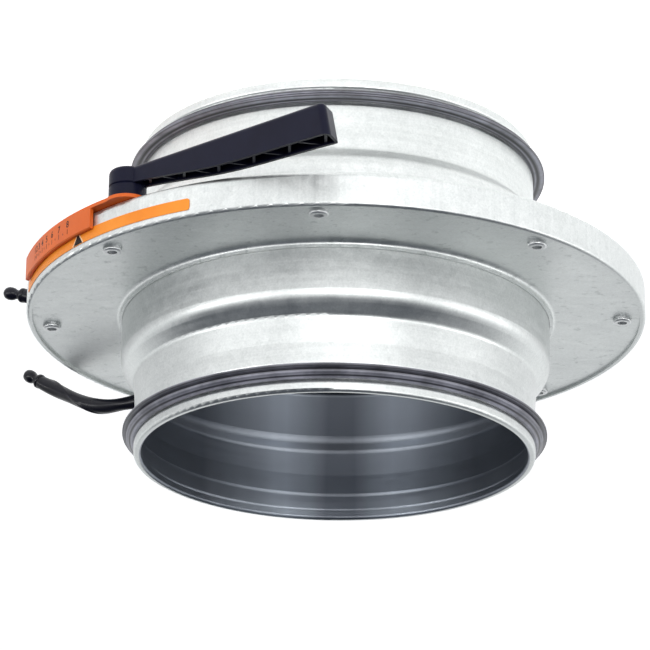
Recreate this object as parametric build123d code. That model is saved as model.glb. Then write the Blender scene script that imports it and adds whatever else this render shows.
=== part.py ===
from build123d import *
from math import atan, ceil, cos, degrees, hypot, radians, sin, tan
import os

os.makedirs("parts", exist_ok=True)

# An iris damper for round ventilation duct of nominal diameter 125 mm. It stands on the end of its
# lower spigot: the origin is the duct axis at that end, and +Z runs up the duct axis.
# All lengths are in millimetres and all angles in degrees. Azimuths are counted from +X.

# Sheet metal
sheet = 0.8                # galvanised sheet of the spigots, the pan and the cover
seam_gap = 0.1             # gap between nested sheets and between plain fits

# Duct spigots
spigot_radius = 62.3       # outside of the wall that goes into the duct
spigot_length = 45.5       # from the face of the housing to the end of the spigot
hem_width = 2.4            # what the hem takes off the mouth
hem_depth = 2.6            # how far the hem is folded back inside
hem_corner = 0.9
neck_step = 4.7            # how much wider the neck next to the housing is
neck_length = 17.0
shoulder_length = 4.8      # height of the slope between neck and wall
shoulder_lead = 0.5        # what the wall still tapers after the slope
shoulder_bend = 6.0
taper_end = 30.0           # height where the wall reaches its final radius
inner_flange = 3.5         # width of the flange that holds a spigot inside the housing
collar_bend = 1.2          # bend between a housing face and the collar round a neck
collar_height = 2.0

# Gaskets
groove_start = 36.6        # from the face of the housing to the groove of the gasket
groove_width = 6.0
groove_depth = 0.6
gasket_body = 0.9          # thickness of the band in the groove
gasket_lip = 3.6           # what the first lip stands proud of the wall
second_lip = 2.4
lip_thickness = 0.7
gasket_play = 0.4          # room at each side of the band in the groove

# Housing
housing_width = 30.0       # from the neck to the rim
housing_height = 11.0
pan_corner = 2.0
crimp_width = 1.75         # rolled edge that holds the cover, from the rim inwards
crimp_corner = 0.9
cover_clearance = 0.1
cover_corner = 0.9
cover_skirt = 5.0          # depth of the cover's own edge inside the pan

# Iris
blade_count = 8
first_pivot = 3.6          # azimuth of the first blade pivot
pivot_inset = 7.3          # from the rim to the circle of the blade pivots
blade_thickness = 0.5
blade_gap = 0.08           # least gap between two blades that pass each other
blade_cover = 1.0          # what an open blade stays inside the wall of the spigot
blade_lobe = 5.0           # radius round the pivot
blade_pass = 4.2           # from the circle of the pivots in to the outer edge of a tail
root_start = 9.0           # azimuths from the pivot: where the inner edge starts,
root_end = 24.0            # where the wide root ends,
tail_start = 38.0          # where the narrow tail starts,
tail_end = 104.0           # and where it ends
tail_corner = 6.0
tilt_lead = 6.0            # direction in which a blade rises, from its own pivot
ring_travel = 18.0         # from fully open to nearly closed
blade_travel = 20.0

# Control ring
ring_thickness = 1.0
ring_play = 1.8            # from the ring to the rim's inner wall
ring_lift = 0.1            # gap under the ring
journal_clearance = 0.08
blade_clearance = 0.45     # gap between the ring and the lowest blade

# Pins and rivets
pin_radius = 1.5
pin_inset = 1.7            # from the circle of the pivots to the drive pins, iris open
pin_lead = 23.0            # azimuth of a drive pin behind its pivot
pin_head_radius = 2.3
pin_head = 0.5
pin_end_gap = 0.05         # from the lowest point of a pin's travel to the ring's underside
running_clearance = 0.08
rivet_radius = 1.8
rivet_head_radius = 2.9
rivet_head = 1.3
rivet_dimple = 1.5
rivet_tail_radius = 2.9
rivet_tail = 0.7
spacer_radius = 3.2

# Scale and index label
scale_thickness = 1.1
scale_gap = 0.2            # between the scale and the face of the pan
scale_width = 15.0         # from the rim inwards
scale_skirt_gap = 0.45     # between the skirt of the scale and the rim
scale_skirt_wall = 1.2
scale_skirt_height = 7.4
scale_start = -41.5
scale_end = -13.0
scale_edge = 0.35          # chamfer round the outside of the skirt
label_start = -63.4
label_end = -11.0
label_low = 5.2            # from the pan's face to the edges of the label
label_high = 8.9
label_thickness = 0.15
label_gap = 0.01           # the film and its glue
label_corner = 0.9

# Handle
hub_azimuth = -47.4
hub_inset = 4.3            # from the rim to the clamp stud
stud_radius = 1.5
stud_head_radius = 3.0
stud_head = 0.7
stud_slot_clearance = 0.2
hub_radius = 5.7
scale_lobe = 6.5
collar_seat = 4.1          # height of the collar between scale and lever
lever_height = 9.7         # from the scale to the closed back of the lever
hub_edge = 0.35            # chamfer where the collar and the lever meet
lever_length = 81.0        # from the stud to the tip, at the open edge
lever_angle = 2.9          # how far the lever leans in from the tangent
lever_root_width = 5.6
lever_tip_width = 8.2
lever_wall = 1.0
lever_back = 1.6
lever_rib = 0.8
lever_rib_drop = 0.5       # what the ribs stay below the open edge
lever_rib_count = 11
lever_edge = 1.6           # rounding along the closed back
lever_tip_skew = 2.6       # how much shorter the outer wall is
lever_tip_lean = 2.4       # how far the end wall leans out towards the open edge
lever_tip_corner = 1.8
nut_flats = 5.5
nut_height = 2.4
nut_recess = 3.0
nut_recess_gap = 0.1
thread_gap = 0.02
stud_tip = 0.3             # what the stud stands out of the nut

# Measuring nipples, hoses and plugs
hose_radius = 2.0
nipple_radius = 1.35
nipple_bore = 0.7
nipple_flange_radius = 2.8
nipple_flange = 1.0
nipple_reach = 5.0         # what goes into the hose
nipple_inside = 1.6
nipple_clearance = 0.05
upper_nipple_azimuth = 32.5
upper_nipple_height = 12.5
lower_nipple_azimuth = 21.0
lower_nipple_height = 10.3
plug_flange_radius = 2.0
plug_flange = 2.4
plug_waist_radius = 1.3
plug_waist = 1.7
plug_head_radius = 1.75
plug_head = 3.6
plug_rounding = 0.4

# Radii
mouth_radius = spigot_radius - hem_width
neck_radius = spigot_radius + neck_step
housing_radius = neck_radius + housing_width
pivot_radius = housing_radius - pivot_inset
pin_circle = pivot_radius - pin_inset
blade_inner = spigot_radius - blade_cover
blade_outer = pivot_radius + blade_lobe
blade_tail = pivot_radius - blade_pass
ring_radius = housing_radius - sheet - ring_play
hub_circle = housing_radius - hub_inset

# Heights
lower_face = spigot_length
pan_floor = lower_face + sheet
cover_face = lower_face + housing_height - sheet
cover_inside = cover_face - sheet
total_height = cover_face + spigot_length
ring_bottom = pan_floor + ring_lift
ring_top = ring_bottom + ring_thickness

# The blades lap one over the next all the way round, so each one lies in a plane of its own that
# rises towards its pivot. The slope gives two neighbours room where they pass closest to the axis.
lap_arm = 0.341 * blade_inner
slope = (blade_thickness + blade_gap) / lap_arm
tilt = degrees(atan(slope))
blade_dip = 0.55 * blade_tail * slope
blade_centre = ring_top + blade_clearance + blade_dip + blade_thickness / 2 / cos(radians(tilt))
rise_x = slope * cos(radians(tilt_lead))
rise_y = slope * sin(radians(tilt_lead))
blade_plane = Plane(origin=(0, 0, blade_centre), x_dir=(1, 0, rise_x), z_dir=(-rise_x, -rise_y, 1))
pivot_point = blade_plane.from_local_coords(Vector(pivot_radius, 0, 0))


def polar(radius, azimuth):
    return radius * cos(radians(azimuth)), radius * sin(radians(azimuth))


def turned(point, azimuth, centre=(0, 0)):
    x, y = point[0] - centre[0], point[1] - centre[1]
    c, s = cos(radians(azimuth)), sin(radians(azimuth))
    return centre[0] + c * x - s * y, centre[1] + s * x + c * y


def turned_sheet(corners, radii):
    """Sheet metal turned about the duct axis, from the outline of its visible side."""
    path = FilletPolyline(*corners, radius=radii)
    section = make_face(Wire(path.edges()).offset_2d(sheet, side=Side.LEFT, closed=True))
    return revolve(Rot(X=90) * section, Axis.Z)


def turned_solid(corners):
    """A solid turned about the duct axis from the corners (radius, height) of its section."""
    section = make_face(Polyline(*corners, close=True))
    return revolve(Rot(X=90) * section, Axis.Z)


def sector(inner, outer, start, end):
    """A flat ring sector between two radii and two azimuths."""
    middle = (start + end) / 2
    outline = [
        ThreePointArc(polar(outer, start), polar(outer, middle), polar(outer, end)),
        Line(polar(outer, end), polar(inner, end)),
        ThreePointArc(polar(inner, end), polar(inner, middle), polar(inner, start)),
        Line(polar(inner, start), polar(outer, start)),
    ]
    return make_face(outline)


def from_underside(shape):
    """The lower half of the damper mirrors the upper half."""
    return mirror(shape, Plane.XY)


# Spigots

def spigot():
    """One spigot, its housing face at height 0, with the flange that lies inside the housing."""
    wall, end = spigot_radius, spigot_length
    groove_end = groove_start + groove_width
    corners = [
        (neck_radius + inner_flange, -sheet),
        (neck_radius, -sheet),
        (neck_radius, neck_length),
        (wall + shoulder_lead, neck_length + shoulder_length),
        (wall, taper_end),
        (wall, groove_start),
        (wall - groove_depth, groove_start + groove_depth),
        (wall - groove_depth, groove_end - groove_depth),
        (wall, groove_end),
        (wall, end),
        (mouth_radius, end),
        (mouth_radius, end - hem_depth),
    ]
    bend = 0.95
    radii = [collar_bend + sheet, shoulder_bend, 2.0, 4.0, bend, bend, bend, bend, hem_corner, hem_corner]
    return turned_sheet(corners, radii)


def gasket():
    """A rubber band in the groove of the spigot, with two lips that lean back to the housing."""
    base = spigot_radius - groove_depth + seam_gap
    band = base + gasket_body
    low = groove_start + groove_depth + gasket_play
    high = groove_start + groove_width - groove_depth - gasket_play
    first, second = low + 1.3, high - 0.9
    lip_1, lip_2 = spigot_radius + gasket_lip, spigot_radius + second_lip
    return turned_solid([
        (base, low), (band, low), (lip_1, first - 0.9), (lip_1, first - 0.9 + lip_thickness),
        (band, first + lip_thickness), (band, second - lip_thickness),
        (lip_2, second - 0.5 - lip_thickness), (lip_2, second - 0.5), (band, high), (base, high),
    ])


def nipple_hole(azimuth, height):
    bore = Cylinder(nipple_radius + seam_gap, 6 * sheet, rotation=(0, 90, 0))
    return Rot(Z=azimuth) * Pos(neck_radius, 0, height) * bore


upper_spigot = Pos(Z=cover_face) * spigot()
upper_spigot -= nipple_hole(upper_nipple_azimuth, cover_face + upper_nipple_height)
lower_spigot = Pos(Z=lower_face) * from_underside(spigot())
lower_spigot -= nipple_hole(lower_nipple_azimuth, lower_face - lower_nipple_height)
upper_gasket = Pos(Z=cover_face) * gasket()
lower_gasket = Pos(Z=lower_face) * from_underside(gasket())

# Housing: a pan with the rim, and a cover that the edge of the pan is crimped over

collar_radius = neck_radius + seam_gap + sheet
pan = turned_sheet(
    [
        (collar_radius, lower_face - collar_height),
        (collar_radius, lower_face),
        (housing_radius, lower_face),
        (housing_radius, lower_face + housing_height),
        (housing_radius - crimp_width, lower_face + housing_height),
    ],
    [collar_bend, pan_corner, crimp_corner],
)
cover_radius = housing_radius - sheet - cover_clearance
cover = turned_sheet(
    [
        (cover_radius, cover_face - cover_skirt),
        (cover_radius, cover_face),
        (collar_radius, cover_face),
        (collar_radius, cover_face + collar_height),
    ],
    [cover_corner, collar_bend],
)

pivots = [first_pivot + 360 / blade_count * index for index in range(blade_count)]
pivot_world = (pivot_point.X, pivot_point.Y)
rivet_hole = Pos(*pivot_world, cover_face) * Cylinder(rivet_radius, 4 * sheet)
cover -= [Rot(Z=azimuth) * rivet_hole for azimuth in pivots]

slot_margin = degrees(stud_slot_clearance / hub_circle)
stud_slot = SlotArc(
    CenterArc((0, 0), hub_circle, hub_azimuth + slot_margin, -(ring_travel + 2 * slot_margin)),
    2 * (stud_radius + stud_slot_clearance),
)
pan -= Pos(Z=lower_face - sheet) * extrude(stud_slot, 3 * sheet)

# Control ring with one cam slot for each drive pin

pin_open = polar(pin_circle, -pin_lead)


def pin_on_ring(closing):
    """Where a drive pin crosses the ring, seen from the ring, for closing from 0 to 1."""
    x, y = turned(pin_open, -blade_travel * closing, (pivot_radius, 0))
    on_blade = blade_plane.from_local_coords(Vector(x, y, 0))
    along = (ring_bottom + ring_thickness / 2 - on_blade.Z) / blade_plane.z_dir.Z
    crossing = on_blade + blade_plane.z_dir * along
    return turned((crossing.X, crossing.Y), ring_travel * closing)


def cam_slot():
    """The slot that keeps the blades turning in step with the ring."""
    half_width = pin_radius + running_clearance
    steps = 10
    track = [Vector(*pin_on_ring(step / steps)) for step in range(steps + 1)]
    middle = Spline(*track)
    left, right = [], []
    for step in range(steps + 1):
        side = middle.tangent_at(step / steps).rotate(Axis.Z, 90) * half_width
        left.append(middle.position_at(step / steps) + side)
        right.append(middle.position_at(step / steps) - side)
    start, end = middle @ 0, middle @ 1
    start_tip = start - (middle % 0) * half_width
    end_tip = end + (middle % 1) * half_width
    return make_face([
        Spline(*left),
        ThreePointArc(left[-1], end_tip, right[-1]),
        Spline(*reversed(right)),
        ThreePointArc(right[0], start_tip, left[0]),
    ])


journal = neck_radius + inner_flange + journal_clearance
ring_shape = Circle(ring_radius) - Circle(journal)
ring_shape -= [Rot(Z=azimuth) * cam_slot() for azimuth in pivots]
ring_shape -= Pos(*polar(hub_circle, hub_azimuth)) * Circle(stud_radius)
control_ring = Pos(Z=ring_bottom) * extrude(ring_shape, ring_thickness)

# Iris blades

def blade_outline():
    """A sickle behind its pivot: a wide root, and a tail that passes inside the next pivots."""
    lobe_in = (pivot_radius - blade_lobe, 0)
    lobe_back = (pivot_radius, blade_lobe)
    lobe_out = (pivot_radius + blade_lobe, 0)
    root_middle, tail_middle = -root_end / 2, -(tail_start + tail_end) / 2
    inner_middle = -(root_start + tail_end) / 2
    outline = make_face([
        ThreePointArc(lobe_in, lobe_back, lobe_out),
        ThreePointArc(lobe_out, polar(blade_outer, root_middle), polar(blade_outer, -root_end)),
        Line(polar(blade_outer, -root_end), polar(blade_tail, -tail_start)),
        ThreePointArc(
            polar(blade_tail, -tail_start), polar(blade_tail, tail_middle), polar(blade_tail, -tail_end)
        ),
        Line(polar(blade_tail, -tail_end), polar(blade_inner, -tail_end)),
        ThreePointArc(
            polar(blade_inner, -tail_end), polar(blade_inner, inner_middle), polar(blade_inner, -root_start)
        ),
        Line(polar(blade_inner, -root_start), lobe_in),
    ])
    tail_corners = outline.vertices().sort_by(Axis.X)[:2]
    return fillet(tail_corners, tail_corner)


blade_shape = blade_outline()
blade_shape -= Pos(pivot_radius, 0) * Circle(rivet_radius + running_clearance)
blade_shape -= Pos(*pin_open) * Circle(pin_radius)
blade = blade_plane * Pos(Z=-blade_thickness / 2) * extrude(blade_shape, blade_thickness)



def pin_root(closing):
    """Height of the blade's middle plane at the drive pin."""
    x, y = turned(pin_open, -blade_travel * closing, (pivot_radius, 0))
    return blade_plane.from_local_coords(Vector(x, y, 0)).Z


pin_height = min(pin_root(0), pin_root(1)) - ring_bottom - pin_radius * slope - pin_end_gap
pin_shank = Cylinder(pin_radius, pin_height, align=(Align.CENTER, Align.CENTER, Align.MAX))
pin_top = Cylinder(pin_radius, blade_thickness / 2, align=(Align.CENTER, Align.CENTER, Align.MIN))
pin_cap = Pos(Z=blade_thickness / 2) * Cylinder(
    pin_head_radius, pin_head, align=(Align.CENTER, Align.CENTER, Align.MIN)
)
drive_pin = blade_plane * Pos(*pin_open) * (pin_shank + pin_top + pin_cap)

# Pivot rivets and the spacers that hold the blades below the cover

blade_half = blade_thickness / 2 / cos(radians(tilt))
spacer_foot = pivot_point.Z + blade_half + spacer_radius * slope + running_clearance
tail_top = pivot_point.Z - blade_half - rivet_tail_radius * slope - running_clearance


def pivot_rivet():
    head = Pos(Z=cover_face) * Cylinder(
        rivet_head_radius, rivet_head, align=(Align.CENTER, Align.CENTER, Align.MIN)
    )
    head = fillet(head.edges().group_by(Axis.Z)[-1], rivet_head * 0.45)
    dimple = Pos(Z=cover_face + rivet_head * 0.45) * Cylinder(
        rivet_dimple, rivet_head, align=(Align.CENTER, Align.CENTER, Align.MIN)
    )
    shank_length = cover_face - tail_top
    shank = Pos(Z=tail_top) * Cylinder(
        rivet_radius, shank_length, align=(Align.CENTER, Align.CENTER, Align.MIN)
    )
    tail = Pos(Z=tail_top) * Cylinder(
        rivet_tail_radius, rivet_tail, align=(Align.CENTER, Align.CENTER, Align.MAX)
    )
    return Pos(*pivot_world) * (head - dimple + shank + tail)


spacer = Pos(*pivot_world, spacer_foot) * extrude(
    Circle(spacer_radius) - Circle(rivet_radius + seam_gap), cover_inside - spacer_foot
)
pivot_rivets = Compound([Rot(Z=azimuth) * pivot_rivet() for azimuth in pivots])
pivot_spacers = Compound([Rot(Z=azimuth) * spacer for azimuth in pivots])

# Scale, index label and clamp stud

scale_top = lower_face - scale_gap
scale_bottom = scale_top - scale_thickness
skirt_inner = housing_radius + scale_skirt_gap
skirt_outer = skirt_inner + scale_skirt_wall
hub_place = Pos(*polar(hub_circle, hub_azimuth))
scale_shape = sector(housing_radius - scale_width, skirt_outer, hub_azimuth, scale_end)
scale_shape += hub_place * Circle(scale_lobe)
scale_shape -= hub_place * Circle(stud_radius + seam_gap)
scale_plate = Pos(Z=scale_bottom) * extrude(scale_shape, scale_thickness)
scale_skirt = Pos(Z=scale_bottom) * extrude(
    sector(skirt_inner, skirt_outer, scale_start, scale_end), scale_skirt_height
)
opening_scale = scale_plate + scale_skirt
skirt_end = opening_scale.faces().sort_by(Axis.Z)[-1]
outer_rim = skirt_end.edges().sort_by(lambda edge: edge.distance_to(Vertex(0, 0, skirt_end.center().Z)))[-1]
opening_scale = chamfer(outer_rim, scale_edge)

label_inner = housing_radius + label_gap
index_label = Pos(Z=lower_face + label_low) * extrude(
    sector(label_inner, label_inner + label_thickness, label_start, label_end),
    label_high - label_low,
)
label_corners = index_label.edges().filter_by(lambda edge: abs(edge.length - label_thickness) < seam_gap / 9)
index_label = fillet(label_corners, label_corner)

collar_bottom = scale_bottom - collar_seat
lever_bottom = scale_bottom - lever_height
nut_seat = lever_bottom + nut_recess
stud_end = nut_seat - nut_height - stud_tip
stud_shank = Pos(Z=stud_end) * Cylinder(
    stud_radius, ring_top - stud_end, align=(Align.CENTER, Align.CENTER, Align.MIN)
)
stud_cap = Pos(Z=ring_top) * Cylinder(
    stud_head_radius, stud_head, align=(Align.CENTER, Align.CENTER, Align.MIN)
)
clamp_stud = hub_place * (stud_shank + stud_cap)
collar = extrude(Circle(hub_radius) - Circle(stud_radius + seam_gap), collar_seat)
collar_rim = collar.edges().group_by(Axis.Z)[0].sort_by(SortBy.RADIUS)[-1]
handle_collar = hub_place * Pos(Z=collar_bottom) * chamfer(collar_rim, hub_edge)
lever_turn = hub_azimuth - 90 - lever_angle
clamp_nut = hub_place * Pos(Z=nut_seat - nut_height) * Rot(Z=lever_turn) * extrude(
    RegularPolygon(nut_flats / 2, 6, major_radius=False) - Circle(stud_radius + thread_gap), nut_height
)

# Lever: an open channel with zigzag ribs, its back away from the housing

def lever_plan(inset):
    """Outline of the lever along +X from the hub, past its tip, drawn in by inset on both sides."""
    root, tip = lever_root_width / 2 - inset, lever_tip_width / 2 - inset
    end = lever_length + hub_radius
    return make_face(Polyline((0, -root), (end, -tip), (end, tip), (0, root), close=True))


def lever_side():
    """Side view of the lever: a straight back and an open edge that rises towards the tip."""
    lift = lever_height - collar_seat
    edge = [(0.07, 1.0), (0.22, 1.23), (0.44, 1.61), (0.67, 1.77), (1.1, 2.02)]
    points = [(share * lever_length, rise * lift) for share, rise in edge]
    start, end = -2 * hub_radius, points[-1][0]
    outline = [
        Polyline((end, points[-1][1]), (end, 0), (start, 0), (start, lift), points[0]),
        Spline(*points),
    ]
    return make_face(outline)


def lever_end(inset):
    """The plane of the tip: it leans out towards the open edge and is skewed in plan."""
    tip = Vector(lever_length - inset, lever_tip_width / 2, 2 * (lever_height - collar_seat))
    across = Vector(-lever_tip_skew, -lever_tip_width, 0)
    down = Vector(-lever_tip_lean, 0, -tip.Z)
    return Plane(origin=tip, x_dir=across, z_dir=across.cross(down))


def lever_ribs():
    """A zigzag between the two walls."""
    first, last = hub_radius, lever_length - lever_wall
    pitch = (last - first) / lever_rib_count
    reach = lever_tip_width / 2
    corners = [
        (first + index * pitch, reach if index % 2 else -reach)
        for index in range(lever_rib_count + 1)
    ]
    return trace(Polyline(*corners), lever_rib)


def lever():
    tall = 2.5 * lever_height
    side = extrude(Rot(X=90) * lever_side(), lever_length, both=True)
    arm = split(extrude(lever_plan(0), tall) & side, bisect_by=lever_end(0), keep=Keep.BOTTOM)
    tip_edges = arm.faces().sort_by(Axis.X)[-1].edges().sort_by(Axis.Y)
    arm = fillet([tip_edges[0], tip_edges[-1]], lever_tip_corner)
    hub = Cylinder(hub_radius, lever_height - collar_seat, align=(Align.CENTER, Align.CENTER, Align.MIN))
    hub = chamfer(hub.edges().group_by(Axis.Z)[-1], hub_edge)
    body = arm + hub
    body = fillet(body.edges().group_by(Axis.Z)[0], lever_edge)
    pocket = extrude(lever_plan(lever_wall), tall) & side
    pocket = split(pocket, bisect_by=lever_end(lever_wall), keep=Keep.BOTTOM)
    pocket &= Pos(Z=lever_back) * Box(
        3 * lever_length, lever_length, tall, align=(Align.CENTER, Align.CENTER, Align.MIN)
    )
    pocket -= Cylinder(hub_radius, 3 * tall)
    rib_body = extrude(lever_ribs(), tall) & Pos(Z=-lever_rib_drop) * side
    body -= pocket - rib_body
    body -= Cylinder(stud_radius + seam_gap, 3 * tall)
    recess = RegularPolygon(nut_flats / 2 + nut_recess_gap, 6, major_radius=False)
    return body - extrude(recess, nut_recess)


handle_lever = hub_place * Pos(Z=lever_bottom) * Rot(Z=lever_turn) * lever()

# Measuring nipples, hoses and their plugs

def nipple():
    """A barbed tube along +X: its flange seats on the outside of the neck."""
    inner_end = -(sheet + nipple_inside)
    outer_end = nipple_flange + nipple_reach
    tube = Circle(nipple_radius) - Circle(nipple_bore)
    body = extrude(Plane.YZ.offset(inner_end) * tube, outer_end - inner_end)
    flange = Circle(nipple_flange_radius) - Circle(nipple_bore)
    body += extrude(Plane.YZ * flange, nipple_flange)
    return Pos(X=neck_radius + seam_gap) * body


hose_start = neck_radius + seam_gap + nipple_flange


def hose(corners):
    """A free hose through corners (distance from the axis, sideways, height), on its nipple."""
    runs = [Vector(*b) - Vector(*a) for a, b in zip(corners, corners[1:])]
    radii = []
    for before, after in zip(runs, runs[1:]):
        half_turn = radians(before.get_angle(after)) / 2
        radii.append(0.45 * min(before.length, after.length) / tan(half_turn))
    print("hose bend radii", [round(radius, 1) for radius in radii])
    path = FilletPolyline(*corners, radius=radii)
    start, end = Plane(origin=path @ 0, z_dir=path % 0), Plane(origin=path @ 1, z_dir=path % 1)
    tube = sweep(start * Circle(hose_radius), path=path)
    bore = extrude(start * Circle(nipple_radius + nipple_clearance), nipple_reach + nipple_clearance)
    return tube - bore, end


def plug():
    """A push-in stopper: a flange against the hose, a waist and a rounded head to pull it by."""
    head_start = plug_flange + plug_waist
    end = head_start + plug_head
    corners = [
        (0, 0), (plug_flange_radius, 0), (plug_flange_radius, plug_flange),
        (plug_waist_radius, plug_flange), (plug_waist_radius, head_start),
        (plug_head_radius, head_start), (plug_head_radius, end), (0, end),
    ]
    outline = make_face(Polyline(*corners, close=True))
    rims = outline.vertices().sort_by(Axis.X)[-4:]
    outline = fillet(rims, plug_rounding)
    return revolve(Rot(X=90) * outline, Axis.Z)


upper_hose_height = cover_face + upper_nipple_height
lower_hose_height = lower_face - lower_nipple_height
upper_route = [
    (hose_start, 0, upper_hose_height),
    (78.5, 0, upper_hose_height),
    (90.5, 0.5, upper_hose_height - 0.5),
    (103.3, 0.1, upper_hose_height - 6.6),
    (114.6, -0.3, upper_hose_height - 13.7),
]
lower_route = [
    (hose_start, 0, lower_hose_height),
    (82.0, 0, lower_hose_height),
    (96.3, 0.4, lower_hose_height + 0.8),
    (108.8, 0.2, lower_hose_height - 2.6),
]
upper_run, upper_hose_end = hose(upper_route)
lower_run, lower_hose_end = hose(lower_route)
upper_turn, lower_turn = Rot(Z=upper_nipple_azimuth), Rot(Z=lower_nipple_azimuth)
upper_nipple = upper_turn * Pos(Z=upper_hose_height) * nipple()
lower_nipple = lower_turn * Pos(Z=lower_hose_height) * nipple()
upper_hose = upper_turn * upper_run
lower_hose = lower_turn * lower_run
upper_plug = upper_turn * upper_hose_end.location * plug()
lower_plug = lower_turn * lower_hose_end.location * plug()

parts = {
    "rim_pan": pan,
    "cover_plate": cover,
    "upper_spigot": upper_spigot,
    "lower_spigot": lower_spigot,
    "upper_gasket": upper_gasket,
    "lower_gasket": lower_gasket,
    "pivot_rivets": pivot_rivets,
    "pivot_spacers": pivot_spacers,
    "index_label": index_label,
    "upper_nipple": upper_nipple,
    "lower_nipple": lower_nipple,
    "upper_hose": upper_hose,
    "lower_hose": lower_hose,
    "upper_plug": upper_plug,
    "lower_plug": lower_plug,
    "control_ring": control_ring,
    "clamp_stud": clamp_stud,
    "opening_scale": opening_scale,
    "handle_collar": handle_collar,
    "handle_lever": handle_lever,
    "clamp_nut": clamp_nut,
}
for index, azimuth in enumerate(pivots, start=1):
    parts[f"blade_{index}"] = Rot(Z=azimuth) * blade
    parts[f"drive_pin_{index}"] = Rot(Z=azimuth) * drive_pin

for name, shape in parts.items():
    export_step(shape, f"parts/{name}.step")
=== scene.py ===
# %% [markdown]
# # A round iris damper
#
# This lesson dresses a volume control damper for ventilation duct. Its construction comes as a
# finished model: two sheet metal spigots, a flat round housing, an iris of eight blades with its
# control ring, a lever and two measuring hoses. Every piece already has its real size and place.
# What is left to us is how it looks: camera, light, the finish of each surface, and the small
# things that are printed, pressed or pushed on.

from math import cos, degrees, hypot, pi, radians, sin

import bmesh
import bpy
from mathutils import Matrix, Vector


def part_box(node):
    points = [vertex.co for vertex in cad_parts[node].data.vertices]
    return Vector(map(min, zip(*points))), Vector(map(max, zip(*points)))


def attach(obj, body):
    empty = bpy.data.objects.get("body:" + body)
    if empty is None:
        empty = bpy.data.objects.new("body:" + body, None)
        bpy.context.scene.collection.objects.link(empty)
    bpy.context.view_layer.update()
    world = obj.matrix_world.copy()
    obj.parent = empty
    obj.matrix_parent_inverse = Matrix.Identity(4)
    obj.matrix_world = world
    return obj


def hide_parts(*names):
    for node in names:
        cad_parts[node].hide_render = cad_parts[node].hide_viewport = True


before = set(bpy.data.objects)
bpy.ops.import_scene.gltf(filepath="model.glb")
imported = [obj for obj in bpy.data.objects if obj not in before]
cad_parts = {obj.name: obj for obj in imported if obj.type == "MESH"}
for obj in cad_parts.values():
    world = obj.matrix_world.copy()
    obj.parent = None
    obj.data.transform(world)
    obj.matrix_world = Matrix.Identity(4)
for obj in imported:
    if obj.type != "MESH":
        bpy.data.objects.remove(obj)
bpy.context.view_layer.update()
mm = 0.001

# %% [markdown]
# ## Sizes read from the model
#
# The model stands on the end of its lower spigot with the duct axis along Z, so nearly every place
# is a distance from that axis, an azimuth round it and a height. Two small helpers read a distance
# and the heights from the nodes themselves, and a third turns the three values into a point. The
# prints further on take their distance from the axis this way, so they lie on the surface that is
# there and not on one that was typed in.

# %% Read sizes from the model
def reach_of(node):
    """The largest distance of a node from the duct axis."""
    return max(hypot(v.co.x, v.co.y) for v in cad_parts[node].data.vertices)


def heights_of(node):
    """The lowest and the highest point of a node."""
    low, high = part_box(node)
    return low.z, high.z


def on_drum(radius, azimuth, height):
    """A point at a distance from the duct axis, at an azimuth in degrees."""
    return Vector((radius * cos(radians(azimuth)), radius * sin(radians(azimuth)), height))


housing_top = heights_of("rim_pan")[1]
print("housing radius", round(reach_of("rim_pan") / mm, 2), "mm")
print("housing top at", round(housing_top / mm, 2), "mm")

# %% [markdown]
# ## Camera
#
# The lever of this damper is on the side that faces the floor. To see it on top we could turn the
# part over, but the model has to stay where its frame puts it. So we turn the camera instead: it
# looks down at 21 degrees and hangs upside down, which is a roll of about 180 degrees. A long lens
# keeps the ellipses of the rims nearly parallel.

# %% Place the camera
camera_distance = 1149.7 * mm
camera_elevation = 21.02
camera_roll = 180.682
camera_shift_right = -3.4 * mm
camera_shift_up = -0.08 * mm
sensor_width, focal_length = 36.0, 202.7  # millimetres, as Blender wants them
nearest_seen, farthest_seen = 0.01, 20.0

camera_data = bpy.data.cameras.new("camera")
camera_data.sensor_width = sensor_width
camera_data.lens = focal_length
camera_data.clip_start = nearest_seen
camera_data.clip_end = farthest_seen
camera = bpy.data.objects.new("camera", camera_data)
bpy.context.scene.collection.objects.link(camera)
camera.matrix_world = (
    Matrix.Translation((0, 0, housing_top))
    @ Matrix.Rotation(radians(90 - camera_elevation), 4, "X")
    @ Matrix.Rotation(radians(camera_roll), 4, "Z")
    @ Matrix.Translation((camera_shift_right, camera_shift_up, camera_distance))
)
bpy.context.scene.camera = camera
print("camera at", [round(x, 3) for x in camera.matrix_world.translation])

# %% [markdown]
# ## Measuring hoses
#
# Two short rubber hoses are pushed on the measuring nipples, so that a gauge can be connected to
# them. A free hose is a curve: we give it the few points of its route, and Blender draws a smooth
# NURBS line that is led by them. The rubber is extruded slightly oval with one ridge along it. The
# hose has a twist left in it from being pushed on, so the ridge winds round it. A section drawn as
# a curve of its own gives the oval and the ridge, and a tilt at each point gives the twist. Each
# point of the route scales the section by the radius of the hose. Its middle radius is 1.12 and
# not 1, so a hose comes out 12 % thicker than the 4 mm that it is declared with.

# %% Draw the section of the hose
section_steps = 60
oval_middle, oval_swing = 1.12, 0.07
ridge_height, ridge_sharpness = 0.15, 40


def hose_section():
    """A slightly oval section, a little over radius 1, with one sharp ridge, as a closed curve."""
    data = bpy.data.curves.new("hose_section", "CURVE")
    spline = data.splines.new("POLY")
    spline.points.add(section_steps - 1)
    for step in range(section_steps):
        angle = 2 * pi * step / section_steps
        ridge = ridge_height * max(0.0, cos(angle)) ** ridge_sharpness
        radius = oval_middle + oval_swing * cos(2 * angle) + ridge
        spline.points[step].co = (radius * cos(angle), radius * sin(angle), 0, 1)
    spline.use_cyclic_u = True
    section = bpy.data.objects.new("hose_section", data)
    bpy.context.scene.collection.objects.link(section)
    section.hide_render = True
    return section


section = hose_section()
print("hose section:", section_steps, "points")

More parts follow.
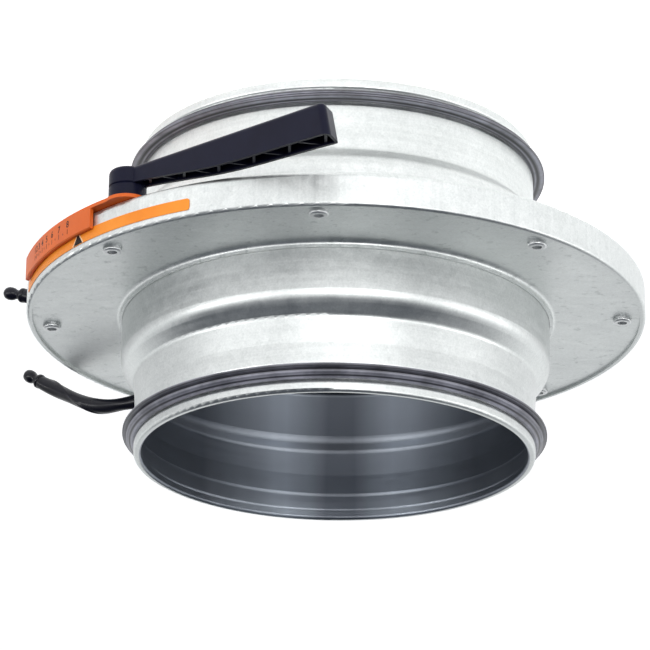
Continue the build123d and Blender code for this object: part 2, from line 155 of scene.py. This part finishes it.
# %% [markdown]
# ## Plugs
#
# Each hose is closed with a small stopper that pulls out by hand. A stopper is round, so we draw
# half of its outline as a chain of edges and let bmesh spin it once round. The chain starts and
# ends on the axis, and the doubled points there are merged afterwards.

# %% Spin a plug
plug_steps = 24
merge_distance = 1e-6
plug_outline = [
    (0.0, 0.0), (2.05, 0.0), (2.4, 0.3), (2.4, 1.2), (2.1, 1.6), (1.55, 1.8), (1.5, 2.5),
    (1.6, 3.2), (1.95, 3.8), (2.15, 4.6), (2.15, 5.8), (1.8, 6.8), (1.0, 7.5), (0.0, 7.7),
]


def plug_piece(name, end, direction, body):
    """A push-in stopper: a flange against the hose, a waist, and a rounded head to pull it by."""
    shape = bmesh.new()
    corners = [shape.verts.new((radius * mm, 0, along * mm)) for radius, along in plug_outline]
    edges = [shape.edges.new(pair) for pair in zip(corners, corners[1:])]
    bmesh.ops.spin(
        shape, geom=corners + edges, cent=(0, 0, 0), axis=(0, 0, 1), dvec=(0, 0, 0),
        angle=2 * pi, steps=plug_steps, use_merge=True,
    )
    bmesh.ops.remove_doubles(shape, verts=shape.verts, dist=merge_distance)
    bmesh.ops.recalc_face_normals(shape, faces=shape.faces)
    turn = direction.to_track_quat("Z", "Y").to_matrix().to_4x4()
    bmesh.ops.transform(shape, matrix=Matrix.Translation(end) @ turn, verts=shape.verts)
    for face in shape.faces:
        face.smooth = True
    mesh = bpy.data.meshes.new(name + "_rubber")
    shape.to_mesh(mesh)
    shape.free()
    piece = bpy.data.objects.new(name + "_rubber", mesh)
    bpy.context.scene.collection.objects.link(piece)
    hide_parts(name)
    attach(piece, body)
    return piece


print("plug:", plug_outline[-1][1], "mm long, turned in", plug_steps, "steps")

# %% [markdown]
# ## Routes
#
# A route is a list of points in millimetres, drawn in the plane of its own nipple: along X away
# from the duct, along Y to the side, and up Z. Turning that plane by the nipple's azimuth puts the
# hose in its place.

# %% Draw the hoses along their routes
hose_radius = 2.0 * mm
hose_azimuth = {"upper_hose": 32.5, "lower_hose": 21.0}
hose_routes = {
    "upper_hose": [
        (68.1, 0, 68.2), (78.5, 0, 68.2), (90.5, 0.5, 67.7), (103.3, 0.1, 61.6),
        (114.6, -0.3, 54.5),
    ],
    "lower_hose": [(68.1, 0, 35.2), (82.0, 0, 35.2), (96.3, 0.4, 36.0), (108.8, 0.2, 32.6)],
}
hose_twist = {"upper_hose": 500.0, "lower_hose": 470.0}
curve_steps = 16


def hose_curve(name, section):
    """One hose on its route, with the plug in its end."""
    turn = Matrix.Rotation(radians(hose_azimuth[name]), 3, "Z")
    route = [turn @ (Vector(point) * mm) for point in hose_routes[name]]
    data = bpy.data.curves.new(name + "_rubber", "CURVE")
    data.dimensions = "3D"
    data.resolution_u = curve_steps
    data.bevel_mode = "OBJECT"
    data.bevel_object = section
    data.use_fill_caps = True
    spline = data.splines.new("NURBS")
    spline.points.add(len(route) - 1)
    for index, point in enumerate(route):
        spline.points[index].co = (*point, 1)
        spline.points[index].radius = hose_radius
        spline.points[index].tilt = radians(hose_twist[name] * index / (len(route) - 1))
    spline.order_u = 3
    spline.use_endpoint_u = True
    spline.resolution_u = curve_steps
    curve = bpy.data.objects.new(name + "_rubber", data)
    bpy.context.scene.collection.objects.link(curve)
    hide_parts(name)
    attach(curve, "housing")
    plug_name = name.replace("hose", "plug")
    plug = plug_piece(plug_name, route[-1], (route[-1] - route[-2]).normalized(), "housing")
    return curve, plug


hoses = {name: hose_curve(name, section) for name in hose_routes}
print("hoses:", list(hoses))

# %% [markdown]
# ## A small kit for materials
#
# Every finish below is a node tree. These helpers add a node, join two sockets and return the
# socket that the next step needs, so that each material reads like a recipe. All patterns use
# Object coordinates. The pieces sit at the origin and have their place in their mesh, so a pattern
# is measured in metres on the real part.

# %% Helpers for node trees
def new_material(name):
    """A material with a node tree that holds one Principled shader."""
    material = bpy.data.materials.new(name)
    material.use_nodes = True
    return material, material.node_tree


def add(tree, kind, settings=None, **inputs):
    """Adds a node. Keyword inputs are values, or sockets to link, by socket name."""
    node = tree.nodes.new(kind)
    for name, value in (settings or {}).items():
        setattr(node, name, value)
    for name, value in inputs.items():
        socket = node.inputs[name.replace("_", " ")]
        if isinstance(value, bpy.types.NodeSocket):
            tree.links.new(value, socket)
        else:
            socket.default_value = value
    return node


def stretched(tree, scale):
    """Object coordinates times a scale along each axis."""
    place = add(tree, "ShaderNodeTexCoord").outputs["Object"]
    return add(tree, "ShaderNodeMapping", Vector=place, Scale=scale).outputs["Vector"]


def noise(tree, scale, detail=3.0, roughness=0.5):
    """Noise from 0 to 1, with its scale along each axis in cycles per metre."""
    node = add(
        tree, "ShaderNodeTexNoise", Vector=stretched(tree, scale), Scale=1.0,
        Detail=detail, Roughness=roughness,
    )
    return node.outputs["Fac"]


def spread(tree, value, low, high, start=0.0, end=1.0):
    """Maps a value from start..end to low..high, clamped."""
    node = tree.nodes.new("ShaderNodeMapRange")
    tree.links.new(value, node.inputs["Value"])
    settings = {"From Min": start, "From Max": end, "To Min": low, "To Max": high}
    for name, number in settings.items():
        node.inputs[name].default_value = number
    return node.outputs["Result"]


def compute(tree, operation, first, second):
    """One step of arithmetic on two values or sockets."""
    node = tree.nodes.new("ShaderNodeMath")
    node.operation = operation
    for socket, value in zip(node.inputs, (first, second)):
        if isinstance(value, bpy.types.NodeSocket):
            tree.links.new(value, socket)
        else:
            socket.default_value = value
    return node.outputs["Value"]


def blend(tree, share, first, second):
    """Mixes two colours by a share from 0 to 1."""
    node = tree.nodes.new("ShaderNodeMix")
    node.data_type = "RGBA"
    tree.links.new(share, node.inputs["Factor"])
    for socket, colour in ((node.inputs[6], first), (node.inputs[7], second)):
        if isinstance(colour, bpy.types.NodeSocket):
            tree.links.new(colour, socket)
        else:
            socket.default_value = (*colour, 1)
    return node.outputs[2]


def bump(tree, height, depth, under=None):
    """Relief of a given depth in metres, on top of another relief where one is given."""
    node = add(tree, "ShaderNodeBump", Height=height, Strength=1.0, Distance=depth)
    if under is not None:
        tree.links.new(under, node.inputs["Normal"])
    return node.outputs["Normal"]


def shader(tree):
    return tree.nodes["Principled BSDF"]


# %% [markdown]
# ## Galvanised sheet
#
# Hot-dip galvanised steel has a coat of zinc crystals, the spangle, each of which catches the light
# a little differently. On modern sheet they are small and faint. Over them lie the marks of
# making: rings where a spigot was spun, short upright marks where the rim was rolled, and straight
# hairlines on the flat face. One recipe serves all: noise that is stretched along the marks.
#
# The inside of a spigot looks much darker than its outside, because light that enters the duct is
# lost in it. Our few panels don't show all of that, so the colour itself carries painted shade
# where the wall faces the duct axis. Two lighter bands up the wall, with a dull strip between them,
# are a painted reflection of what a polished wall would mirror. They are laid out for the front
# view and stay where they are on the part.

# %% Find the inner side of the wall
def inner_side(tree):
    """1 where a surface faces the duct axis, 0 where it faces away."""
    place = add(tree, "ShaderNodeTexCoord").outputs
    across = add(tree, "ShaderNodeVectorMath", {"operation": "MULTIPLY"})
    tree.links.new(place["Object"], across.inputs[0])
    across.inputs[1].default_value = (1, 1, 0)
    outward = add(tree, "ShaderNodeVectorMath", {"operation": "NORMALIZE"})
    tree.links.new(across.outputs["Vector"], outward.inputs[0])
    facing = add(tree, "ShaderNodeVectorMath", {"operation": "DOT_PRODUCT"})
    tree.links.new(outward.outputs["Vector"], facing.inputs[0])
    tree.links.new(place["Normal"], facing.inputs[1])
    surely_inner, surely_outer = -0.5, -0.15
    return spread(tree, facing.outputs["Value"], 1.0, 0.0, surely_inner, surely_outer)


def mirrored_bands(tree):
    """Painted reflection: two lighter bands up the inner wall, with a dull strip between them."""
    wander, strip_middle = 8 * mm, 2 * mm
    band_rises, band_falls = (4 * mm, 17 * mm), (22 * mm, 44 * mm)
    side = add(tree, "ShaderNodeTexCoord").outputs["Object"]
    side = add(tree, "ShaderNodeSeparateXYZ", Vector=side).outputs["X"]
    side = compute(tree, "ADD", side, compute(tree, "MULTIPLY", noise(tree, (60, 60, 2)), wander))
    side = compute(tree, "ABSOLUTE", compute(tree, "SUBTRACT", side, strip_middle), 0.0)
    rise = spread(tree, side, 0.15, 1.0, *band_rises)
    return compute(tree, "MULTIPLY", rise, spread(tree, side, 1.0, 0.2, *band_falls))


print("the inside of the spigots gets a darker finish with two lighter bands")

# %% Make the galvanised finishes
# Colours of the painted shade inside the spigots and of its bands of painted reflection.
inner_painted_shade, inner_painted_reflection = (0.15, 0.16, 0.185), (0.58, 0.63, 0.70)
zinc_dark, zinc_light = (0.60, 0.625, 0.615), (0.86, 0.88, 0.87)
spangle_density = 520.0
spangle_depth = 0.000003


def galvanised(name, marks, shine, tone=1.0, relief_depth=0.000003, specks=0.2, paint_inner_light=False):
    """Zinc coated sheet. marks is the number of marks per metre along X, Y and Z."""
    material, tree = new_material(name)
    spangle = add(
        tree, "ShaderNodeTexVoronoi", {"feature": "F1"},
        Vector=stretched(tree, (1, 1, 1)), Scale=spangle_density,
    )
    crystal = add(tree, "ShaderNodeSeparateColor", Color=spangle.outputs["Color"]).outputs["Red"]
    cloud = noise(tree, (38, 38, 38), detail=4.0, roughness=0.6)
    grain = noise(tree, (1500, 1500, 1500), detail=3.0, roughness=0.7)
    speck = noise(tree, (420, 420, 420), detail=2.0)
    mark = noise(tree, marks, detail=5.0, roughness=0.65)
    share = spread(tree, crystal, 0.0, 0.2)
    share = compute(tree, "ADD", share, spread(tree, cloud, 0.0, 0.25, 0.3, 0.7))
    share = compute(tree, "ADD", share, spread(tree, mark, 0.0, 0.3, 0.3, 0.7))
    share = compute(tree, "ADD", share, spread(tree, grain, 0.0, 0.35, 0.35, 0.65))
    share = compute(tree, "SUBTRACT", share, spread(tree, speck, 0.0, specks, 0.62, 0.74))
    dark, light = [tuple(part * tone for part in zinc) for zinc in (zinc_dark, zinc_light)]
    surface = shader(tree)
    colour = blend(tree, share, dark, light)
    # Inside the duct the colour becomes painted shade, with bands of painted reflection.
    if paint_inner_light:
        painted_shade_and_reflection = blend(tree, mirrored_bands(tree), inner_painted_shade, inner_painted_reflection)
        colour = blend(tree, inner_side(tree), colour, painted_shade_and_reflection)
    tree.links.new(colour, surface.inputs["Base Color"])
    rough = spread(tree, mark, -0.04, 0.05, 0.3, 0.7)
    rough = compute(tree, "ADD", rough, spread(tree, crystal, -0.02, 0.02))
    rough = compute(tree, "ADD", rough, spread(tree, cloud, shine - 0.03, shine + 0.05, 0.3, 0.7))
    tree.links.new(rough, surface.inputs["Roughness"])
    relief = bump(tree, mark, relief_depth)
    tree.links.new(bump(tree, crystal, spangle_depth, under=relief), surface.inputs["Normal"])
    surface.inputs["Metallic"].default_value = 1.0
    return material


rings = (25, 25, 900)
uprights = (700, 700, 18)
hairlines = (90, 420, 90)
spun_sheet = galvanised("spun_galvanised_sheet", rings, shine=0.39, tone=0.94, paint_inner_light=True)
rolled_sheet = galvanised("rolled_galvanised_sheet", uprights, shine=0.42)
flat_sheet = galvanised(
    "flat_galvanised_sheet", hairlines, shine=0.40, relief_depth=0.0000015, specks=0.8
)
print("sheet finishes:", [m.name for m in (spun_sheet, rolled_sheet, flat_sheet)])

# %% [markdown]
# ## Zinc plated fasteners
#
# Rivets, spacers, pins, the stud and its nut are plated rather than dipped: a smoother, brighter
# coat with no spangle, dulled a little by handling.

# %% Make the plated finish
def plated(name):
    """A bright zinc coat with a faint cloud in its colour and its gloss."""
    material, tree = new_material(name)
    cloud = noise(tree, (400, 400, 400), detail=4.0)
    surface = shader(tree)
    share = spread(tree, cloud, 0.0, 1.0, 0.3, 0.7)
    colour = blend(tree, share, (0.66, 0.67, 0.67), (0.86, 0.87, 0.87))
    tree.links.new(colour, surface.inputs["Base Color"])
    tree.links.new(spread(tree, cloud, 0.36, 0.48, 0.3, 0.7), surface.inputs["Roughness"])
    tree.links.new(bump(tree, noise(tree, (900, 900, 900)), 0.000008), surface.inputs["Normal"])
    surface.inputs["Metallic"].default_value = 1.0
    return material


plated_steel = plated("zinc_plated_steel")
print("plated finish:", plated_steel.name)

# %% [markdown]
# ## Rubber and plastics
#
# The lever, the collar and the nipples are moulded in black plastic with a fine spark-eroded grain.
# The hoses and plugs are smoother black rubber. The scale is orange plastic, and the label a
# printed film of nearly the same orange. All of them follow one recipe, from a dark and a light
# tone, a roughness, a grain and a gloss.
#
# The gaskets need one of their own. They are extruded rubber with fine lines that run round the
# band, and their crests carry a painted highlight, stronger in some patches. A line that runs
# round keeps its distance from the duct axis and its height, so the noise is looked up by those
# two alone.

# %% Make the moulded finish
def moulded(name, dark, light, rough, grain_size, grain_depth, gloss=0.5):
    """Rubber or plastic with a fine grain and a slight change of tone."""
    material, tree = new_material(name)
    cloud = noise(tree, (60, 60, 60), detail=4.0, roughness=0.6)
    surface = shader(tree)
    colour = blend(tree, spread(tree, cloud, 0.0, 1.0, 0.3, 0.7), dark, light)
    tree.links.new(colour, surface.inputs["Base Color"])
    dullness = spread(tree, cloud, rough - 0.05, rough + 0.07, 0.3, 0.7)
    tree.links.new(dullness, surface.inputs["Roughness"])
    grain = noise(tree, (grain_size, grain_size, grain_size), detail=2.0)
    tree.links.new(bump(tree, grain, grain_depth), surface.inputs["Normal"])
    surface.inputs["Specular IOR Level"].default_value = gloss
    return material


# %% Make the ribbed rubber of the gaskets
lines_per_metre = 900.0


def ribbed_rubber(name, dark, light):
    """Extruded rubber: fine lines run round the band, with a painted highlight on their crests."""
    material, tree = new_material(name)
    place = add(tree, "ShaderNodeTexCoord").outputs["Object"]
    part = add(tree, "ShaderNodeSeparateXYZ", Vector=place).outputs
    squares = [compute(tree, "POWER", part[axis], 2.0) for axis in "XY"]
    reach = compute(tree, "SQRT", compute(tree, "ADD", *squares), 0.0)
    line = add(tree, "ShaderNodeCombineXYZ", X=reach, Y=0.0, Z=part["Z"]).outputs["Vector"]
    lines = add(tree, "ShaderNodeTexNoise", Vector=line, Scale=lines_per_metre, Detail=2.0)
    lines = lines.outputs["Fac"]
    cloud = noise(tree, (90, 90, 90), detail=4.0, roughness=0.6)
    # A random cloud sets how strong the painted highlight on the crests is.
    sheen_strength = spread(tree, cloud, 0.4, 1.0, 0.35, 0.65)
    # The light tone on the crests of the lines is a painted highlight.
    share = compute(tree, "MULTIPLY", spread(tree, lines, 0.0, 1.0, 0.40, 0.62), sheen_strength)
    surface = shader(tree)
    tree.links.new(blend(tree, share, dark, light), surface.inputs["Base Color"])
    tree.links.new(spread(tree, cloud, 0.30, 0.42, 0.3, 0.7), surface.inputs["Roughness"])
    tree.links.new(bump(tree, lines, 0.00002), surface.inputs["Normal"])
    return material


# Black rubber, with a pale bluish grey for the painted highlight on the crests.
gasket_rubber = ribbed_rubber("gasket_rubber", (0.010, 0.010, 0.014), (0.40, 0.40, 0.47))
print("gasket finish:", gasket_rubber.name)

# %% Mix the rubber, the plastics and the ink
hose_rubber = moulded(
    "hose_rubber", (0.002, 0.002, 0.006), (0.005, 0.005, 0.013), 0.25, 1200, 0.000006, gloss=0.32
)
lever_plastic = moulded(
    "lever_plastic", (0.005, 0.005, 0.016), (0.008, 0.009, 0.025), 0.36, 1800, 0.000004, gloss=0.15
)
scale_plastic = moulded(
    "scale_plastic", (0.62, 0.105, 0.010), (0.76, 0.150, 0.018), 0.45, 900, 0.000004, gloss=0.3
)
label_film = moulded(
    "label_film", (0.84, 0.24, 0.016), (0.92, 0.30, 0.026), 0.40, 900, 0.000003, gloss=0.3
)
print_ink = moulded(
    "print_ink", (0.008, 0.004, 0.004), (0.02, 0.012, 0.01), 0.5, 900, 0.000002, gloss=0.2
)
pale_edge = moulded("pale_print", (0.90, 0.55, 0.30), (0.98, 0.66, 0.40), 0.45, 900, 0.000002)
print("moulded finishes:", [m.name for m in (hose_rubber, lever_plastic, scale_plastic)])

# %% [markdown]
# ## Scale and pointer
#
# The scale is read against a pointer printed on the label. Its digits and ticks are stamped in ink
# on the skirt, closer together towards the closed end. A font gives us the digits: each is a flat
# text turned into a mesh, then every vertex is laid round the drum, a hair above the plastic. Ticks
# and pointer are flat shapes cut fine enough to follow the curve. The skirt turns with the ring and
# the label stays on the housing, so the digits ride on one body and the pointer on the other.

# %% Lay a flat shape round the drum
print_lift = 0.02 * mm
skirt_stands_off = 1.65 * mm
skirt_radius = reach_of("rim_pan") + skirt_stands_off + print_lift
label_radius = reach_of("index_label") + print_lift


def wrapped(shape, name, radius, azimuth, height, body, material):
    """Lays a flat shape round the duct axis, read from outside with the damper turned over."""
    for vert in shape.verts:
        place = on_drum(radius, azimuth - degrees(vert.co.x / radius), height - vert.co.y)
        vert.co = place
    bmesh.ops.recalc_face_normals(shape, faces=shape.faces)
    for face in shape.faces:
        outward = Vector((face.calc_center_median().x, face.calc_center_median().y, 0))
        if face.normal.dot(outward) < 0:
            face.normal_flip()
    mesh = bpy.data.meshes.new(name)
    shape.to_mesh(mesh)
    shape.free()
    piece = bpy.data.objects.new(name, mesh)
    bpy.context.scene.collection.objects.link(piece)
    mesh.materials.append(material)
    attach(piece, body)
    return piece


print("skirt at", round(skirt_radius / mm, 2), "mm, label at", round(label_radius / mm, 2), "mm")

# %% Draw digits and strips
ink_spread = 0.05 * mm
digit_curve_steps = 4


def digit_shape(digit, size):
    """One digit as a flat shape, centred on its own middle."""
    data = bpy.data.curves.new("digit", "FONT")
    data.body = digit
    data.size = size
    data.align_x, data.align_y = "CENTER", "CENTER"
    data.resolution_u = digit_curve_steps
    data.offset = ink_spread
    text = bpy.data.objects.new("digit", data)
    bpy.context.scene.collection.objects.link(text)
    mesh = bpy.data.meshes.new_from_object(text)
    bpy.data.objects.remove(text)
    shape = bmesh.new()
    shape.from_mesh(mesh)
    bmesh.ops.remove_doubles(shape, verts=shape.verts, dist=1e-7)
    bpy.data.meshes.remove(mesh)
    return shape


def strip_shape(corners):
    """A flat shape from its corners, cut fine enough to bend."""
    shape = bmesh.new()
    shape.faces.new([shape.verts.new((x * mm, y * mm, 0)) for x, y in corners])
    bmesh.ops.subdivide_edges(shape, edges=shape.edges, cuts=3, use_grid_fill=True)
    return shape


print("an ink line spreads by", round(ink_spread / mm, 2), "mm")

# %% Print the scale
readings = range(8, 0, -1)
tick_count = 2 * len(readings) - 1
open_azimuth, first_step, step_shrinks = -34.6, 3.2, 0.17
digit_size, digit_height = 2.9 * mm, 46.8 * mm
tick_foot, tick_middle, tick_half_width = 49.8 * mm, 0.7, 0.14
tall_tick, short_tick = 1.6, 0.6


def scale_azimuth(reading):
    """Where a reading stands on the skirt: the steps shrink towards 1."""
    step = readings[0] - reading
    return open_azimuth + first_step * step - step_shrinks * step ** 2


for reading in readings:
    wrapped(
        digit_shape(str(reading), digit_size), f"scale_digit_{reading}", skirt_radius,
        scale_azimuth(reading), digit_height, "ring", print_ink,
    )
for half in range(tick_count):
    tall = tall_tick if half % 2 == 0 else short_tick
    low, high = tick_middle - tall / 2, tick_middle + tall / 2
    tick = strip_shape([
        (-tick_half_width, low), (tick_half_width, low),
        (tick_half_width, high), (-tick_half_width, high),
    ])
    wrapped(
        tick, f"scale_tick_{half}", skirt_radius, scale_azimuth(readings[0] - half / 2), tick_foot,
        "ring", print_ink,
    )
print("printed", len(readings), "digits and", tick_count, "ticks")

# %% Print the pointer
pointer_azimuth, pointer_foot = -36.9, 54.3 * mm
outline = strip_shape([(-3.0, 0.0), (3.0, 0.0), (0.25, 3.75), (-0.25, 3.75)])
wrapped(
    outline, "pointer_outline", label_radius, pointer_azimuth, pointer_foot,
    "housing", pale_edge,
)
arrow = strip_shape([(-2.4, 0.05), (2.4, 0.05), (0.1, 3.4), (-0.1, 3.4)])
wrapped(
    arrow, "pointer", label_radius + print_lift, pointer_azimuth, pointer_foot,
    "housing", print_ink,
)
print("pointer at azimuth", pointer_azimuth)

# %% [markdown]
# ## Finishes on their pieces
#
# A node comes without a material, so each gets one that fits what it is made of. The blades and
# their pins are many and alike, so the start of the name is enough for them. The hose and plug
# solids of the model are replaced by our own, which are dressed by hand.

# %% Dress the nodes
finishes = {
    "rim_pan": rolled_sheet, "cover_plate": flat_sheet,
    "upper_spigot": spun_sheet, "lower_spigot": spun_sheet,
    "upper_gasket": gasket_rubber, "lower_gasket": gasket_rubber,
    "pivot_rivets": plated_steel, "pivot_spacers": plated_steel,
    "upper_nipple": lever_plastic, "lower_nipple": lever_plastic,
    "control_ring": flat_sheet, "clamp_stud": plated_steel, "clamp_nut": plated_steel,
    "opening_scale": scale_plastic, "index_label": label_film,
    "handle_collar": lever_plastic, "handle_lever": lever_plastic,
}


def dress(piece, material):
    """Gives a piece one material and no other."""
    piece.data.materials.clear()
    piece.data.materials.append(material)


for name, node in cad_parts.items():
    if name.startswith("blade"):
        dress(node, flat_sheet)
    elif name.startswith("drive_pin"):
        dress(node, plated_steel)
    elif name in finishes:
        dress(node, finishes[name])
for hose, plug in hoses.values():
    dress(hose, hose_rubber)
    dress(plug, hose_rubber)
print("dressed:", len(finishes), "kinds of node, the blades, their pins and", len(hoses), "hoses")

# %% [markdown]
# ## Studio
#
# A metal part is lit by what it reflects, so the room is made for its reflections: large soft
# panels rather than points of light. The camera hangs upside down, so the light that seems to come
# from above has to come from the floor. The floor is plain paper that glows a little, less towards
# its left and right. The world is a bright band at the horizon under a dark ceiling, which gives
# the sheet its contrast. Three low panels add soft highlights.

# %% Lay the floor
floor_half_size = 4.0
floor_gap = 0.2 * mm
glow_middle, glow_plus_x = 0.85, 0.40  # emission strength
fade_minus_x = 0.75  # a factor on it


def studio_floor():
    """Glowing paper just under the part, whose glow fades to both sides."""
    mesh = bpy.data.meshes.new("studio_floor")
    shape = bmesh.new()
    bmesh.ops.create_grid(shape, x_segments=1, y_segments=1, size=floor_half_size)
    bmesh.ops.translate(shape, verts=shape.verts, vec=(0, 0, -floor_gap))
    shape.to_mesh(mesh)
    shape.free()
    floor = bpy.data.objects.new("studio_floor", mesh)
    bpy.context.scene.collection.objects.link(floor)
    material, tree = new_material("floor_paper")
    paper = shader(tree)
    paper.inputs["Base Color"].default_value = (0.80, 0.80, 0.80, 1)
    paper.inputs["Roughness"].default_value = 0.8
    paper.inputs["Emission Color"].default_value = (1, 1, 1, 1)
    side = add(tree, "ShaderNodeTexCoord").outputs["Object"]
    side = add(tree, "ShaderNodeSeparateXYZ", Vector=side).outputs["X"]
    towards_plus_x = spread(tree, side, glow_middle, glow_plus_x, 0.14, 0.30)
    towards_minus_x = spread(tree, side, fade_minus_x, 1.0, -0.30, -0.14)
    glow = compute(tree, "MULTIPLY", towards_plus_x, towards_minus_x)
    tree.links.new(glow, paper.inputs["Emission Strength"])
    dress(floor, material)


studio_floor()
print("floor at", round(-floor_gap / mm, 2), "mm")

# %% Hang the panels and the sky
def panel(name, place, target, width, height, power):
    """A softbox of a given size in metres that looks at a target point."""
    data = bpy.data.lights.new(name, "AREA")
    data.shape = "RECTANGLE"
    data.size, data.size_y = width, height
    data.energy = power
    light = bpy.data.objects.new(name, data)
    light.location = place
    light.rotation_euler = (Vector(target) - Vector(place)).to_track_quat("-Z", "Y").to_euler()
    bpy.context.scene.collection.objects.link(light)


def studio_world(horizon, ceiling):
    """A bright band at the horizon, higher behind the damper than in front of it."""
    tilt_back, tilt_side = 0.16, 0.10
    band_fades = 0.20, 0.62
    world = bpy.data.worlds.new("studio_world")
    world.use_nodes = True
    tree = world.node_tree
    direction = add(tree, "ShaderNodeTexCoord").outputs["Generated"]
    part = add(tree, "ShaderNodeSeparateXYZ", Vector=direction).outputs
    height = compute(tree, "SUBTRACT", part["Z"], compute(tree, "MULTIPLY", part["Y"], tilt_back))
    height = compute(tree, "ADD", height, compute(tree, "MULTIPLY", part["X"], tilt_side))
    colour = blend(tree, spread(tree, height, 0.0, 1.0, *band_fades), horizon, ceiling)
    tree.links.new(colour, tree.nodes["Background"].inputs["Color"])
    bpy.context.scene.world = world


studio_world((1.15, 1.17, 1.18), (0.07, 0.08, 0.10))
centre = (0, 0, 0.05)
panel("front_panel", (-0.2, -1.6, 0.12), centre, 1.4, 0.24, 8)
panel("left_panel", (1.3, -0.9, 0.12), centre, 1.2, 0.24, 5)
panel("right_panel", (-1.5, -0.4, 0.12), centre, 1.2, 0.24, 3)
bpy.context.scene.view_settings.view_transform = "Standard"
